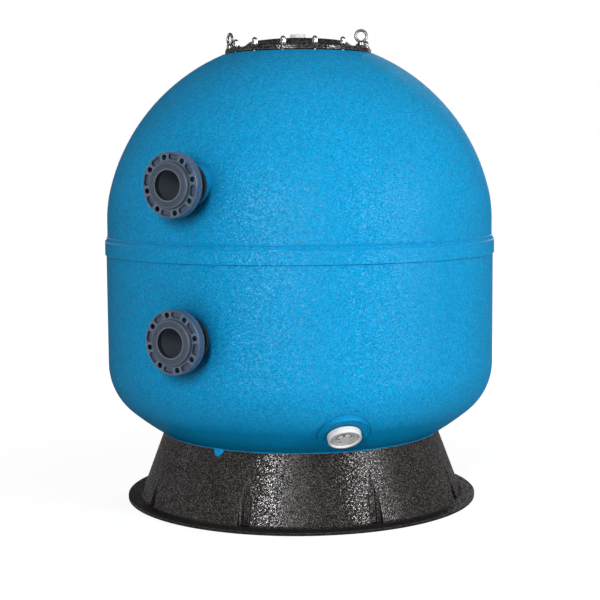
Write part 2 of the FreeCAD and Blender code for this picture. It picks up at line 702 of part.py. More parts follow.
def dome_nut(number):
    """Hexagon with a domed end and a blind bore, standing on its washer."""
    made = doc.addObject("PartDesign::Body", f"dome_nut_{number}")
    across = CELL["nut_flats"]
    corner = across / (2 * cosine(30))
    hexagon = sketch_on(made, "XY_Plane")
    outline(hexagon, [(corner * cosine(60 * k), corner * sine(60 * k)) if k % 3 else
                      (corner * (1 - 2 * (k // 3)), 0) for k in range(6)])
    padded(made, hexagon, CELL["nut_hex_height"])
    dome = across / 2 - 0.5
    tall = CELL["nut_hex_height"] + CELL["nut_dome_height"]
    turned(made, [(0, 0), (dome, 0), (dome, tall - dome, dome, True), (0, tall)])
    bore = CELL["stud_radius"] + CELL["thread_gap"]
    turned(made, [(0, 0), (bore, 0), (bore, CELL["stud_reach"] + 1), (0, CELL["stud_reach"] + 1)], cut=True)
    at_stud(made, number)
    return made


def eye_nut(label, number, turn):
    """Lifting eye: a ring on a round foot, with a through bore for the stud."""
    made = body(label)
    foot = CELL["eye_foot_radius"]
    bar = CELL["eye_section"]
    turned(made, [(0, 0), (foot, 0), (foot, CELL["eye_foot_height"] / 2),
                  (foot - 3, CELL["eye_foot_height"]), (0, CELL["eye_foot_height"])])
    middle = CELL["eye_height"] - bar - CELL["eye_ring_radius"]
    ring = circle_in(sketch_on(made, "XZ_Plane"), 0, middle + CELL["eye_ring_radius"], bar)
    axis_line = ring.addGeometry(Part.LineSegment(
        FreeCAD.Vector(-bar.value, middle.value, 0), FreeCAD.Vector(bar.value, middle.value, 0)), True)
    pin_point(ring, axis_line, 1, -bar, middle)
    pin_point(ring, axis_line, 2, bar, middle)
    hoop = feature(made, "Revolution", ring, Angle=360.0)
    hoop.ReferenceAxis = (ring, ["Axis0"])
    bore = CELL["stud_radius"] + CELL["thread_gap"]
    top = middle - CELL["eye_ring_radius"] + bar + 1
    turned(made, [(0, 0), (bore, 0), (bore, top), (0, top)], cut=True)
    at_stud(made, number)
    made.Placement.Rotation = FreeCAD.Rotation(FreeCAD.Vector(0, 0, 1), turn)
    return made


EYE_STUDS = (3, 11)
RIGHT_EYE_TURN = 120.4
LEFT_EYE_TURN = 57.0


def lid_fasteners():
    lid_studs()
    lid_washers()
    nuts = [dome_nut(number) for number in range(int(CELL["bolt_count"].value))
            if number not in EYE_STUDS]
    group = doc.addObject("Part::Compound", "lid_nuts")
    group.Label = "lid_nuts"
    group.Links = nuts
    subparts.append(group)
    eye_nut("eye_nut_right", EYE_STUDS[0], RIGHT_EYE_TURN)
    eye_nut("eye_nut_left", EYE_STUDS[1], LEFT_EYE_TURN)


# Air vent at the lid's centre

def air_vent():
    flange_top = vent_level + CELL["vent_flange_height"]
    post_top = flange_top + CELL["vent_post_height"]
    shank = CELL["vent_hole_radius"] - bond
    tail = vent_level - CELL["lid_wall"] - CELL["vent_nut_height"] - 3
    bore = CELL["vent_bore_radius"]
    made = body("vent_body")
    turned(made, [
        (bore, tail), (shank, tail), (shank, vent_level), (CELL["vent_flange_radius"], vent_level),
        (CELL["vent_flange_radius"], flange_top), (CELL["vent_post_radius"], flange_top),
        (CELL["vent_post_radius"], post_top), (bore, post_top)])

    nut = body("vent_locknut")
    hexagon = sketch_on(nut, "XY_Plane", vent_level - CELL["lid_wall"] - CELL["vent_nut_height"])
    corner = CELL["vent_nut_radius"]
    outline(hexagon, [(corner * cosine(60 * k), corner * sine(60 * k)) if k % 3 else
                      (corner * (1 - 2 * (k // 3)), 0) for k in range(6)])
    circle_in(hexagon, 0, 0, shank + CELL["turn_gap"])
    padded(nut, hexagon, CELL["vent_nut_height"])

    foot = flange_top + CELL["seal_gap"]
    groove = CELL["vent_seal_section"] + CELL["seal_groove_gap"]
    middle = CELL["vent_seal_radius"]
    groove_top = foot + 2 * groove
    hole = CELL["vent_post_radius"] + CELL["turn_gap"]
    hole_top = post_top + CELL["seal_gap"]
    top = foot + CELL["vent_knob_height"]
    edge = CELL["vent_knob_radius"]
    knob = body("vent_knob")
    turned(knob, [
        (hole, foot), (middle - groove, foot), (middle - groove, groove_top),
        (middle + groove, groove_top), (middle + groove, foot), (edge, foot), (edge, top - 3, 3, True),
        (edge - 3, top), (0, top), (0, hole_top), (hole, hole_top)])
    grip = circle_in(sketch_on(knob, "XY_Plane", foot), 0, edge + 2, 4)
    scallop = pocketed(knob, grip, CELL["vent_knob_height"], ahead=True)
    repeated(knob, [scallop], as_size(12))
    seal_ring("vent_seal", middle, CELL["vent_seal_section"], foot + CELL["vent_seal_section"])


def seal_ring(label, radius, section, level):
    """A round seal about its own Z axis."""
    made = body(label)
    ring = circle_in(sketch_on(made, "XZ_Plane"), radius, level, section)
    hoop = feature(made, "Revolution", ring, Angle=360.0)
    hoop.ReferenceAxis = (ring, ["V_Axis"])
    return made


# Flanged ports

def stub_flange(label, level):
    """Cemented to the pipe: a socket, a bore and the collar that holds the loose ring."""
    made = body(label)
    back = port_face - CELL["stub_length"]
    edge = CELL["collar_round"]
    turned(made, [
        (pipe_bore, port_face), (pipe_bore, back + socket_depth), (socket_radius, back + socket_depth),
        (socket_radius, back), (neck_radius, back), (neck_radius, port_face - CELL["collar_thickness"]),
        (collar_radius, port_face - CELL["collar_thickness"]), (collar_radius, port_face - edge, edge, True),
        (collar_radius - edge, port_face)])
    for number in range(int(CELL["face_groove_count"].value)):
        middle = pipe_bore + CELL["face_groove_margin"] + number * CELL["face_groove_pitch"]
        half = CELL["face_groove_width"] / 2
        turned(made, [(middle - half, port_face), (middle, port_face - CELL["face_groove_depth"]),
                      (middle + half, port_face)], cut=True)
    facing_front(made, level)


def backing_ring(label, level):
    """Loose flange that turns on the stub's neck, with eight bolt holes and hollows between."""
    made = body(label)
    bore = neck_radius + CELL["ring_clearance"]
    rim = bore + CELL["ring_width"]
    face = port_face - CELL["collar_thickness"] - CELL["ring_seat_gap"]
    back = face - CELL["ring_thickness"]
    edge = CELL["ring_round"]
    turned(made, [
        (bore, back), (rim - edge / 2, back), (rim, back + edge / 2), (rim, face - edge, edge, True),
        (rim - edge, face), (bore, face)])
    circle = rim - CELL["ring_edge"]
    phase = CELL["ring_hole_phase"]
    hole = sketch_on(made, "XY_Plane", face)
    circle_in(hole, circle * cosine(phase), circle * sine(phase), CELL["ring_hole_radius"])
    repeated(made, [pocketed(made, hole, CELL["ring_thickness"])], CELL["ring_hole_count"])
    half_turn = 180 / CELL["ring_hole_count"]
    hollow = sketch_on(made, "XY_Plane", face, phase + half_turn)
    half_length = CELL["ring_pocket_length"] / 2
    half_width = CELL["ring_pocket_width"] / 2
    end = half_width / 2
    outline(hollow, [
        (circle - half_width, end - half_length), (circle - half_width + end, -half_length),
        (circle + half_width - end, -half_length), (circle + half_width, end - half_length),
        (circle + half_width, half_length - end), (circle + half_width - end, half_length),
        (circle - half_width + end, half_length), (circle - half_width, half_length - end)])
    repeated(made, [pocketed(made, hollow, CELL["ring_pocket_depth"])], CELL["ring_hole_count"])
    facing_front(made, level)


def elbow(label, level, upward):
    """Right-angle bend with a socket at each end, from -Y to straight up or down."""
    made = body(label)
    bend = CELL["bend_radius"]
    path = sketch_on(made, "YZ_Plane")
    first = path.addGeometry(Part.LineSegment(
        FreeCAD.Vector(-elbow_end.value, 0, 0), FreeCAD.Vector(-bend.value, 0, 0)), False)
    arc = path.addGeometry(arc_between((-bend.value, 0), (0, bend.value), bend.value, True), False)
    last = path.addGeometry(Part.LineSegment(
        FreeCAD.Vector(0, bend.value, 0), FreeCAD.Vector(0, elbow_end.value, 0)), False)
    pin_point(path, first, 1, -elbow_end, 0)
    pin_point(path, first, 2, -bend, 0)
    path.addConstraint(Sketcher.Constraint("Coincident", first, 2, arc, 1))
    path.addConstraint(Sketcher.Constraint("Coincident", arc, 2, last, 1))
    pin_point(path, last, 1, 0, bend)
    pin_point(path, last, 2, 0, elbow_end)
    held = path.addConstraint(Sketcher.Constraint("Radius", arc, bend.value))
    bind(path, f"Constraints[{held}]", bend)
    outside = circle_in(sketch_on(made, "XZ_Plane", elbow_end), 0, 0, neck_radius)
    feature(made, "AdditivePipe", outside, Spine=path)
    inside = circle_in(sketch_on(made, "XZ_Plane", elbow_end), 0, 0, pipe_bore)
    feature(made, "SubtractivePipe", inside, Spine=path)
    mouth = circle_in(sketch_on(made, "XZ_Plane", elbow_end), 0, 0, socket_radius)
    pocketed(made, mouth, socket_depth)
    upper_mouth = circle_in(sketch_on(made, "XY_Plane", elbow_end), 0, 0, socket_radius)
    pocketed(made, upper_mouth, socket_depth)
    turn = FreeCAD.Rotation(FreeCAD.Vector(0, 1, 0), 0 if upward else 180)
    made.Placement = FreeCAD.Placement(FreeCAD.Vector(0, 0, level.value), turn)
    bind(made, "Placement.Base.z", level)


def port(name, level):
    """Pipe through the shell, stub flange and loose ring of one port."""
    inner_end = elbow_end - socket_depth + bond
    outer_end = port_face - CELL["stub_length"] + socket_depth - bond
    pipe = tube(f"{name}_pipe", pipe_radius, pipe_bore, inner_end, outer_end)
    facing_front(pipe, level)
    stub_flange(f"{name}_stub_flange", level)
    backing_ring(f"{name}_backing_ring", level)
    elbow(f"{name}_elbow", level, upward=name == "inlet")


# Water distribution inside the vessel

def diffuser():
    """Slotted head that spreads the water over the sand, on top of the riser."""
    start = inlet_level + elbow_end - socket_depth + bond
    top = landing_level - CELL["diffuser_drop"]
    floor = top - CELL["diffuser_height"]
    finish = floor - CELL["socket_land"]
    tube("inlet_riser", pipe_radius, pipe_bore, start, finish)
    made = body("diffuser")
    mouth = finish - socket_depth
    edge = CELL["diffuser_radius"]
    thick = CELL["diffuser_wall"]
    turned(made, [
        (socket_radius, mouth), (neck_radius, mouth), (neck_radius, floor - thick), (edge, floor),
        (edge, top - thick, thick, True), (edge - thick, top), (0, top), (0, top - thick),
        (edge - thick, top - thick), (edge - thick, floor + thick), (neck_radius, floor),
        (pipe_bore, floor), (pipe_bore, finish + bond), (socket_radius, finish + bond)])
    margin = CELL["diffuser_slot_margin"]
    half = CELL["diffuser_slot_width"] / 2
    slot = outline(sketch_on(made, "XZ_Plane", edge - 2 * thick), [
        (-half, floor + margin), (half, floor + margin), (half, top - margin), (-half, top - margin)])
    repeated(made, [pocketed(made, slot, 3 * thick, ahead=True)], CELL["diffuser_slot_count"])


def collector():
    """Down pipe, hub and slotted laterals that gather the clean water under the sand."""
    half = CELL["hub_half_height"]
    mouth = hub_level + half + socket_depth
    floor = hub_level + half
    start = floor + bond
    finish = outlet_level - elbow_end + socket_depth - bond
    tube("outlet_downpipe", pipe_radius, pipe_bore, start, finish)
    hub = body("collector_hub")
    edge = CELL["hub_radius"]
    bottom = hub_level - half
    turned(hub, [
        (0, bottom), (edge, bottom), (edge, floor), (neck_radius, floor + 12), (neck_radius, mouth),
        (socket_radius, mouth), (socket_radius, floor), (pipe_bore, floor),
        (pipe_bore, bottom + CELL["hub_floor"]), (0, bottom + CELL["hub_floor"])])
    phase = CELL["lateral_phase"]
    reach = CELL["lateral_radius"]
    seat = edge - CELL["lateral_socket"]
    for radius, start_at, depth in (
            (reach + CELL["socket_gap"], seat, CELL["lateral_socket"] + bond),
            (reach - CELL["lateral_wall"], as_size(0), edge)):
        hole = sketch_on(hub, "XZ_Plane", start_at)
        circle_in(hole, 0, hub_level, radius)
        repeated(hub, [pocketed(hub, hole, depth, ahead=True)], CELL["lateral_count"])
    hub.Placement.Rotation = FreeCAD.Rotation(FreeCAD.Vector(0, 0, 1), phase.value)
    bind(hub, "Placement.Rotation.Angle", phase)
    low_edge = dish_centre - (hub_level - reach)
    finish_at = leg(dish_crown - wall, low_edge) - CELL["lateral_end_gap"]
    for number in range(int(CELL["lateral_count"].value)):
        lateral(number, seat + bond, finish_at)


def lateral(number, start, finish):
    """Slotted tube with a domed end, lying level and slotted on its underside."""
    made = body(f"lateral_{number + 1}")
    reach = CELL["lateral_radius"]
    inside = reach - CELL["lateral_wall"]
    shoulder = finish - reach / 2
    turned(made, [
        (inside, start), (reach, start), (reach, shoulder), (reach * 0.6, finish), (0, finish),
        (0, finish - CELL["lateral_wall"]), (inside * 0.6, finish - CELL["lateral_wall"]),
        (inside, shoulder - 1)])
    first = start + CELL["lateral_slot_margin"]
    across = reach + 1
    slot = outline(sketch_on(made, "XZ_Plane", reach), [
        (-across, first), (across, first), (across, first + CELL["lateral_slot_width"]),
        (-across, first + CELL["lateral_slot_width"])])
    cut = pocketed(made, slot, CELL["lateral_slot_depth"])
    row = feature(made, "LinearPattern", Originals=[cut])
    row.Direction = (origin_feature(made, "Z_Axis"), [""])
    bind(row, "Length", shoulder - first - CELL["lateral_slot_margin"])
    bind(row, "Occurrences", CELL["lateral_slot_count"])
    made.Tip = row
    angle = CELL["lateral_phase"] + 360 * as_size(number) / CELL["lateral_count"]
    leaning(made, "Placement", (as_size(0), hub_level), angle, as_size(0))


# Sand drain in the bottom knuckle

def drain():
    shank = drain_hole - CELL["drain_hole_gap"]
    bore = CELL["drain_bore_radius"]
    nut_foot = drain_seat - CELL["drain_nut_height"]
    tail = nut_foot - CELL["drain_body_tail"]
    flange = CELL["drain_flange_radius"]
    pieces = []

    made = body("drain_body")
    turned(made, [
        (bore, tail), (shank, tail), (shank, drain_flange_foot), (flange, drain_flange_foot),
        (flange, drain_flange_top - 1.5, 1.5, True), (flange - 1.5, drain_flange_top),
        (bore, drain_flange_top)])
    pieces.append(made)

    pieces.append(tube("drain_gasket", flange - 1.5, drain_hole + 1, drain_face, drain_flange_foot))

    nut = body("drain_locknut")
    turned(nut, [
        (shank + CELL["turn_gap"], nut_foot), (CELL["drain_nut_radius"], nut_foot),
        (CELL["drain_nut_radius"], drain_seat), (shank + CELL["turn_gap"], drain_seat)])
    grip = circle_in(sketch_on(nut, "XY_Plane", nut_foot), 0, CELL["drain_nut_radius"] + 3, 7)
    repeated(nut, [pocketed(nut, grip, CELL["drain_nut_height"] - 4, ahead=True)], as_size(8))
    pieces.append(nut)

    strainer = body("drain_strainer")
    thick = CELL["strainer_wall"]
    mouth = tail + CELL["drain_body_tail"] - 1
    end = tail - CELL["strainer_length"]
    outer = shank + CELL["turn_gap"] + thick
    turned(strainer, [
        (outer - thick, mouth), (outer - thick, tail - bond), (bore, tail - bond),
        (bore, end + thick), (0, end + thick), (0, end), (outer - 8, end), (outer, end + 8),
        (outer, mouth)])
    half = CELL["strainer_slot_width"] / 2
    slot = outline(sketch_on(strainer, "XZ_Plane", bore - 2), [
        (-half, end + 10), (half, end + 10), (half, tail - 8), (-half, tail - 8)])
    repeated(strainer, [pocketed(strainer, slot, outer - bore + 4, ahead=True)],
             CELL["strainer_slot_count"])
    pieces.append(strainer)

    pieces.extend(drain_cap())
    for piece in pieces:
        leaning(piece, "Placement", drain_centre, CELL["drain_angle"], drain_tilt)


def drain_cap():
    """Screw cap with a hollow face and a notched boss, and the seal in its groove."""
    plug = CELL["drain_bore_radius"] - CELL["turn_gap"]
    foot = drain_cap_foot
    top = drain_cap_top
    edge = CELL["drain_cap_radius"]
    hollow = edge - CELL["drain_cap_rim"]
    hollow_floor = top - CELL["drain_cap_hollow"]
    boss = CELL["drain_boss_radius"]
    boss_top = top - CELL["drain_boss_drop"]
    groove = CELL["drain_seal_section"] + CELL["seal_groove_gap"]
    middle = CELL["drain_seal_radius"]
    groove_top = foot + groove * 2
    made = body("drain_cap")
    turned(made, [
        (0, foot - CELL["drain_plug_length"]), (plug, foot - CELL["drain_plug_length"]), (plug, foot),
        (middle - groove, foot), (middle - groove, groove_top), (middle + groove, groove_top),
        (middle + groove, foot), (edge, foot), (edge, top - 2, 2, True), (edge - 2, top),
        (hollow, top), (hollow - 1.5, hollow_floor), (boss, hollow_floor),
        (boss, boss_top - 1), (boss - 1, boss_top), (0, boss_top)])
    half = CELL["drain_notch_width"] / 2
    inner = boss - CELL["drain_notch_length"]
    notch = outline(sketch_on(made, "XY_Plane", boss_top), [
        (-half, inner), (half, inner), (half, boss + 1), (-half, boss + 1)])
    repeated(made, [pocketed(made, notch, boss_top - hollow_floor)], CELL["drain_notch_count"])
    seal = seal_ring("drain_seal", middle, CELL["drain_seal_section"], foot + CELL["drain_seal_section"])
    return made, seal


lower_shell()
upper_shell()
base_skirt()
manhole_lid()
lid_gasket()
lid_fasteners()
air_vent()
port("inlet", inlet_level)
port("outlet", outlet_level)
diffuser()
collector()
drain()
doc.recompute()

# Every feature and every sub-part has to be sound before anything is written
broken = [thing.Name for thing in doc.Objects if {"Invalid", "Error"} & set(thing.State)]
if broken:
    raise RuntimeError("failed features: " + ", ".join(broken))
for piece in subparts:
    if piece.Shape.isNull() or not piece.Shape.isValid() or not piece.Shape.Solids:
        raise RuntimeError("unsound sub-part: " + piece.Label)
os.makedirs("parts", exist_ok=True)
for piece in subparts:
    piece.Shape.exportStep(f"parts/{piece.Label}.step")
    litres = piece.Shape.Volume / 1e6
    print(f"{piece.Label:22s} solids {len(piece.Shape.Solids):3d} volume {litres:8.4f} l")
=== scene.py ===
"""Looks of the pool filter: materials, small surface details, light and camera, in metres."""
import json
import math

import bpy
from mathutils import Euler, Matrix, Vector


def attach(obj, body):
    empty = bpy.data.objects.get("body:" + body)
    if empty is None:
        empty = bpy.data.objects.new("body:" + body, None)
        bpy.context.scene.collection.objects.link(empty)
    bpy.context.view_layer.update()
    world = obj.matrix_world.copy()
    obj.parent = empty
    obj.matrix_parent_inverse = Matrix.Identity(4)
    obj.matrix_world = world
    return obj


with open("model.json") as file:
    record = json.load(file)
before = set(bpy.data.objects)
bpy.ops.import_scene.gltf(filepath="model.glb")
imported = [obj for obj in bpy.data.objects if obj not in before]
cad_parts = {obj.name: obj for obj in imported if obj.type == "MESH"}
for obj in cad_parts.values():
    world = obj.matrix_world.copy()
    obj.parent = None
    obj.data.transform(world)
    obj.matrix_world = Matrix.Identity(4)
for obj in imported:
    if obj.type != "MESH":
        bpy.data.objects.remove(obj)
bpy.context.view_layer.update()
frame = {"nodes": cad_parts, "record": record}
nodes = frame["nodes"]


# Places that several pieces share, as the frame has them

INLET_LEVEL = 1.154
OUTLET_LEVEL = 0.651
PORT_BORE = 0.0490
SHELL_RADIUS = 0.700
BAND_RADIUS = 0.709
SEAM_LEVEL = 0.897
BAND_LEVEL = 0.945
LIP_LEVEL = 0.959
SKIRT_TOP = (0.5041, 0.2457)
SKIRT_SLOPE = 0.39


# Node material helpers

def rgba(colour):
    """A colour as four numbers, from three or four."""
    return tuple(colour) if len(colour) == 4 else (*colour, 1.0)


def plug(tree, value, socket):
    """Link another node's output into a socket, or set the socket to a plain value."""
    if hasattr(value, "is_output"):
        tree.links.new(value, socket)
    else:
        socket.default_value = rgba(value) if socket.type == "RGBA" else value


class Recipe:
    """A material under construction, with its principled shader and object coordinates."""

    def __init__(self, name, **settings):
        self.material = bpy.data.materials.new(name)
        self.material.use_nodes = True
        self.tree = self.material.node_tree
        self.shader = self.tree.nodes["Principled BSDF"]
        self.place = self.add("ShaderNodeTexCoord").outputs["Object"]
        for socket, value in settings.items():
            self.set(socket.replace("_", " "), value)

    def set(self, socket, value):
        plug(self.tree, value, self.shader.inputs[socket])

    def add(self, kind, inputs=None, **properties):
        made = self.tree.nodes.new(kind)
        for name, value in properties.items():
            setattr(made, name, value)
        for name, value in (inputs or {}).items():
            plug(self.tree, value, made.inputs[name])
        return made

    def noise(self, scale, detail=2.0, rough=0.5, distortion=0.0):
        inputs = {"Scale": scale, "Detail": detail, "Roughness": rough, "Distortion": distortion}
        return self.add("ShaderNodeTexNoise", {**inputs, "Vector": self.place}).outputs["Fac"]

    def cells(self, scale):
        return self.add("ShaderNodeTexVoronoi", {"Scale": scale, "Vector": self.place})

    def channel(self, colour, name):
        return self.add("ShaderNodeSeparateColor", {"Color": colour}).outputs[name]

    def axis(self, vector, name):
        return self.add("ShaderNodeSeparateXYZ", {"Vector": vector}).outputs[name]

    def span(self, value, low, high, to_low=0.0, to_high=1.0):
        """A value between low and high brought to the span from to_low to to_high."""
        inputs = {"Value": value, "From Min": low, "From Max": high, "To Min": to_low, "To Max": to_high}
        return self.add("ShaderNodeMapRange", inputs, clamp=True).outputs["Result"]

    def maths(self, operation, first, second=0.0):
        return self.add("ShaderNodeMath", {0: first, 1: second}, operation=operation).outputs["Value"]

    def vectors(self, operation, first, second=(0.0, 0.0, 0.0)):
        return self.add("ShaderNodeVectorMath", {0: first, 1: second}, operation=operation)

    def mixed(self, factor, first, second):
        """The first colour where the factor is nothing, and the second where it is one."""
        made = self.add("ShaderNodeMix", data_type="RGBA")
        sockets = [socket for socket in made.inputs if socket.enabled]
        for socket, value in zip(sockets, (factor, first, second)):
            plug(self.tree, value, socket)
        return next(socket for socket in made.outputs if socket.enabled)

    def surface_normal(self):
        return self.add("ShaderNodeNewGeometry").outputs["Normal"]

    def sparks(self, cells, spread):
        """A normal that leans a little another way in each cell, so a highlight breaks into sparks."""
        lean = self.vectors("SUBTRACT", cells.outputs["Color"], (0.5, 0.5, 0.5)).outputs[0]
        small = self.add("ShaderNodeVectorMath", {0: lean, "Scale": spread}, operation="SCALE").outputs[0]
        leaning = self.vectors("ADD", small, self.surface_normal()).outputs[0]
        return self.vectors("NORMALIZE", leaning).outputs[0]

    def facing_up(self, low, high):
        """One where a surface faces the sky, fading to nothing where its normal's rise is low."""
        return self.span(self.axis(self.surface_normal(), "Z"), low, high)

    def above(self, low, high, to_low=0.0, to_high=1.0):
        """Grows with the height over the floor between two levels."""
        return self.span(self.axis(self.place, "Z"), low, high, to_low, to_high)

    def edges(self, radius, low, high):
        """One on sharp edges and nothing on flat or gently rounded surfaces."""
        rounded = self.add("ShaderNodeBevel", {"Radius": radius}, samples=4).outputs[0]
        likeness = self.vectors("DOT_PRODUCT", rounded, self.surface_normal()).outputs["Value"]
        return self.span(likeness, 1.0 - high, 1.0 - low, to_low=1.0, to_high=0.0)

    def with_edge_glint(self, tone, edge_glint):
        """The tone, turned paler on outer edges: a painted highlight where edges would catch the light."""
        pale = (0.30, 0.34, 0.38)
        outward = self.add("ShaderNodeNewGeometry").outputs["Pointiness"]
        return self.mixed(self.span(outward, 0.51, 0.60, to_high=edge_glint), tone, pale)

    def in_ports(self):
        """One inside the bore of either port, whose axes run along Y at x = 0."""
        aside = self.maths("POWER", self.axis(self.place, "X"), 2.0)
        inside = []
        for level in (INLET_LEVEL, OUTLET_LEVEL):
            rise = self.maths("SUBTRACT", self.axis(self.place, "Z"), level)
            away = self.maths("SQRT", self.maths("ADD", aside, self.maths("POWER", rise, 2.0)))
            inside.append(self.maths("LESS_THAN", away, PORT_BORE))
        return self.maths("MAXIMUM", *inside)

    def painted_shade_mask(self, reach, low=0.35, high=0.9):
        """One on open surfaces and nothing in narrow recesses and corners; colours mixed by it are painted
        shade.
        """
        made = self.add("ShaderNodeAmbientOcclusion", {"Distance": reach}, samples=8)
        return self.span(made.outputs["AO"], low, high)

    def bump(self, height, strength, distance):
        inputs = {"Height": height, "Strength": strength, "Distance": distance}
        return self.add("ShaderNodeBump", inputs).outputs["Normal"]


# Materials

def gelcoat():
    """Blue gelcoat: an orange peel that breaks the highlight into sparks, clouds, painted shade in
    recesses and under the dish, and painted glints and shade in the peel cells.
    """
    deep, bright = (0.0010, 0.370, 0.745), (0.0015, 0.410, 0.830)
    light, peel_shade_colour = (0.008, 0.46, 0.90), (0.0004, 0.14, 0.31)
    peel_glint_colour, shaded = (0.80, 0.90, 1.0), (0.0006, 0.09, 0.20)
    m = Recipe("gelcoat_blue", Roughness=0.5, Specular_IOR_Level=0.0,
               Coat_Weight=0.045, Coat_IOR=2.2, Coat_Roughness=0.24)
    clouds = m.span(m.noise(3.2, detail=4.0, rough=0.55), 0.3, 0.7)
    streaks = m.span(m.noise(60.0, detail=3.0, rough=0.6), 0.35, 0.75, to_high=0.25)
    colour = m.mixed(streaks, m.mixed(clouds, deep, bright), light)
    peel = m.cells(290.0)
    on_wall = m.above(0.30, 0.42, to_low=0.3)
    # Painted shade: some orange-peel cells take a darker blue, standing in for the shading of the peel's
    # relief; weaker below the wall.
    peel_shade = m.span(m.channel(peel.outputs["Color"], "Red"), 0.0, 1.0, to_low=0.60, to_high=0.0)
    colour = m.mixed(m.maths("MULTIPLY", peel_shade, on_wall), colour, peel_shade_colour)
    # Painted highlight: some orange-peel cells take a near-white tint, standing in for sparks of light on
    # the peel; weaker below the wall.
    peel_glints = m.span(m.channel(peel.outputs["Color"], "Green"), 0.45, 1.0, to_high=0.034)
    colour = m.mixed(m.maths("MULTIPLY", peel_glints, on_wall), colour, peel_glint_colour)
    # Painted shade: a darker blue where the ambient-occlusion mask finds recesses, reaching far enough to
    # darken the dish's underside.
    m.set("Base Color", m.mixed(m.painted_shade_mask(0.22, low=0.35, high=0.92), shaded, colour))
    m.set("Coat Normal", m.sparks(peel, spread=0.46))
    m.set("Normal", m.sparks(peel, spread=0.12))
    return m.material


def smooth_gelcoat():
    """The same blue where it ran into a bead or a drop: no orange peel, and more gloss."""
    m = Recipe("gelcoat_smooth", Roughness=0.4, Specular_IOR_Level=0.0,
               Coat_Weight=0.24, Coat_IOR=1.5, Coat_Roughness=0.10)
    tone = m.span(m.noise(40.0, detail=3.0), 0.3, 0.7)
    m.set("Base Color", m.mixed(tone, (0.0010, 0.290, 0.620), (0.0020, 0.330, 0.700)))
    m.set("Normal", m.bump(m.noise(30.0), strength=0.3, distance=0.002))
    return m.material


def speckled_black(name, gloss, cell_scale, spread, fleck, top_sheen=0.0):
    """Black moulding with pale glossy flecks that spark, painted highlights on sharp edges, an optional
    painted sheen on upward faces, and painted near-black shade in recesses and along the lowest part.
    """
    black, lighter = (0.006, 0.0042, 0.0036), (0.013, 0.0095, 0.0082)
    hollow_shade, foot = (0.003, 0.0026, 0.0023), (0.003, 0.0027, 0.0025)
    m = Recipe(name, Roughness=0.55, Specular_IOR_Level=0.0, Coat_IOR=2.2, Coat_Roughness=0.18)
    patches = m.span(m.noise(7.0, detail=4.0, rough=0.6), 0.35, 0.7)
    tone = m.mixed(patches, black, lighter)
    dots = m.cells(cell_scale)
    near = m.span(dots.outputs["Distance"], 0.30, 0.60, to_low=1.0, to_high=0.0)
    chance = m.span(m.channel(dots.outputs["Color"], "Red"), 0.35, 1.0)
    flake = m.maths("POWER", chance, 2.0)
    upright = m.span(m.facing_up(0.60, 0.95), 0.0, 1.0, to_low=1.0, to_high=0.3)
    shine = m.span(flake, 0.0, 1.0, to_low=0.06, to_high=gloss)
    m.set("Coat Weight", m.maths("MULTIPLY", upright, shine))
    tone = m.mixed(m.maths("MULTIPLY", near, flake), tone, fleck)
    # Painted reflection: upward faces turn paler, standing in for the sheen of the surroundings on them.
    if top_sheen:
        tone = m.mixed(m.maths("MULTIPLY", m.facing_up(0.7, 0.98), top_sheen), tone, (0.30, 0.27, 0.25))
    # Painted shade: near-black in recesses such as the flutes.
    tone = m.mixed(m.painted_shade_mask(0.04, low=0.22, high=0.68), hollow_shade, tone)
    # Painted highlight: sharp edges, such as the flutes' rims, turn paler as if catching the light.
    edge_highlight = m.maths("MULTIPLY", m.edges(0.005, low=0.01, high=0.15), 0.5)
    tone = m.mixed(edge_highlight, tone, (0.20, 0.19, 0.20))
    # Painted shade: the lowest 4 to 16 mm fade to near-black next to the floor.
    m.set("Base Color", m.mixed(m.above(0.004, 0.016), foot, tone))
    m.set("Coat Normal", m.sparks(dots, spread))
    m.set("Normal", m.sparks(dots, spread * 0.3))
    return m.material


def flow_marks(m, darker, colour):
    """Two tones of one plastic, mixed along its faint flow marks."""
    return m.mixed(m.span(m.noise(14.0, detail=4.0, rough=0.6, distortion=1.2), 0.3, 0.72), darker, colour)


def uneven_finish(m, smooth, rough, grain):
    """Gloss that varies in patches, and the fine grain of a mould."""
    m.set("Roughness", m.span(m.noise(60.0, detail=3.0), 0.3, 0.7, to_low=smooth, to_high=rough))
    m.set("Normal", m.bump(m.noise(260.0, detail=3.0), strength=grain, distance=0.0006))
    return m.material


def moulded(name, colour, darker, rough, grain=0.12, edge_glint=0.0, corner_shade=None, reach=0.012, **settings):
    """Injection-moulded plastic, which may have painted highlights along outer edges and painted shade in
    corners.
    """
    m = Recipe(name, Roughness=rough, **settings)
    tone = flow_marks(m, darker, colour)
    if edge_glint:
        tone = m.with_edge_glint(tone, edge_glint)
    # Painted shade: the given dark colour in recesses and corners, such as the drain cap's notches and the
    # ring's pockets.
    if corner_shade:
        tone = m.mixed(m.painted_shade_mask(reach), corner_shade, tone)
    m.set("Base Color", tone)
    return uneven_finish(m, rough * 0.8, min(1.0, rough * 1.25), grain)


def port_plastic(name, outside, darker, inside):
    """Grey pipe plastic with a painted highlight on its outer edges, painted near-black shade in recesses,
    and a bore of another tone: painted light on the pipe's bore wall and painted shade in the stub
    flange's bore.
    """
    m = Recipe(name, Roughness=0.38, Specular_IOR_Level=0.35)
    # Painted highlight: outer edges turn paler.
    tone = m.with_edge_glint(flow_marks(m, darker, outside), edge_glint=0.3)
    # Painted shade: near-black in recesses and corners.
    tone = m.mixed(m.painted_shade_mask(0.014, low=0.5, high=0.95), (0.006, 0.008, 0.012), tone)
    # Painted light and shade: the bore gets its own tone, lighter than the outside in the pipe and darker
    # in the stub flange.
    m.set("Base Color", m.mixed(m.in_ports(), tone, inside))
    return uneven_finish(m, smooth=0.28, rough=0.45, grain=0.12)


